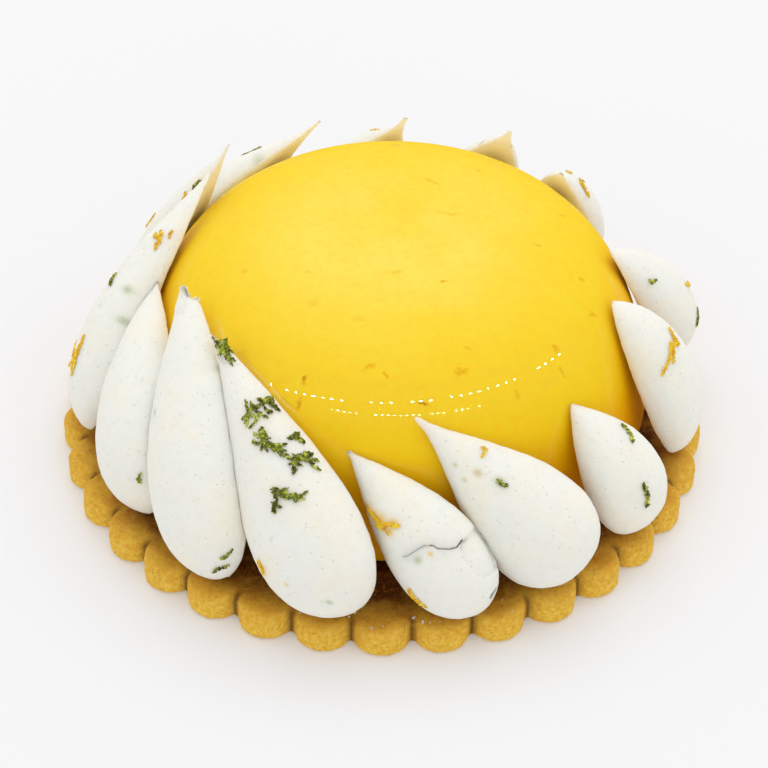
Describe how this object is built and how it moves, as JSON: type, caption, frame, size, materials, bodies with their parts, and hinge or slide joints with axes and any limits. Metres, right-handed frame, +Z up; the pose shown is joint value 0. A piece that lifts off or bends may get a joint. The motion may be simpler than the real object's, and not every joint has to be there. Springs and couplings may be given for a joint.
{
  "type": "lemon tart",
  "caption": "Lemon tart for one: a scalloped shortcrust biscuit under a smooth dome of set lemon cream, ringed by leaning piped meringue drops strewn with lime and lemon zest.",
  "frame": {"origin": "middle of the biscuit's flat underside", "axes": "+Z up, the tart's shortest way; +X to the right and -Y towards the viewer in the picture's view"},
  "size_m": [0.0999, 0.103, 0.0424],
  "materials": {
    "shortcrust": "golden baked shortcrust, dull and grainy, toasted darker on top",
    "lemon_cream": "smooth set lemon cream, glossy and a little translucent, with fine flecks of zest",
    "meringue": "dry white meringue, matt with fine pores, cream-coloured on its flat back"
  },
  "bodies": {
    "root": {"biscuit": "shortcrust", "lemon_cream": "lemon_cream", "meringue_01": "meringue", "meringue_02": "meringue", "meringue_03": "meringue", "meringue_04": "meringue", "meringue_05": "meringue", "meringue_06": "meringue", "meringue_07": "meringue", "meringue_08": "meringue", "meringue_09": "meringue", "meringue_10": "meringue", "meringue_11": "meringue", "meringue_12": "meringue", "meringue_13": "meringue", "meringue_14": "meringue"}
  },
  "joints": []
}
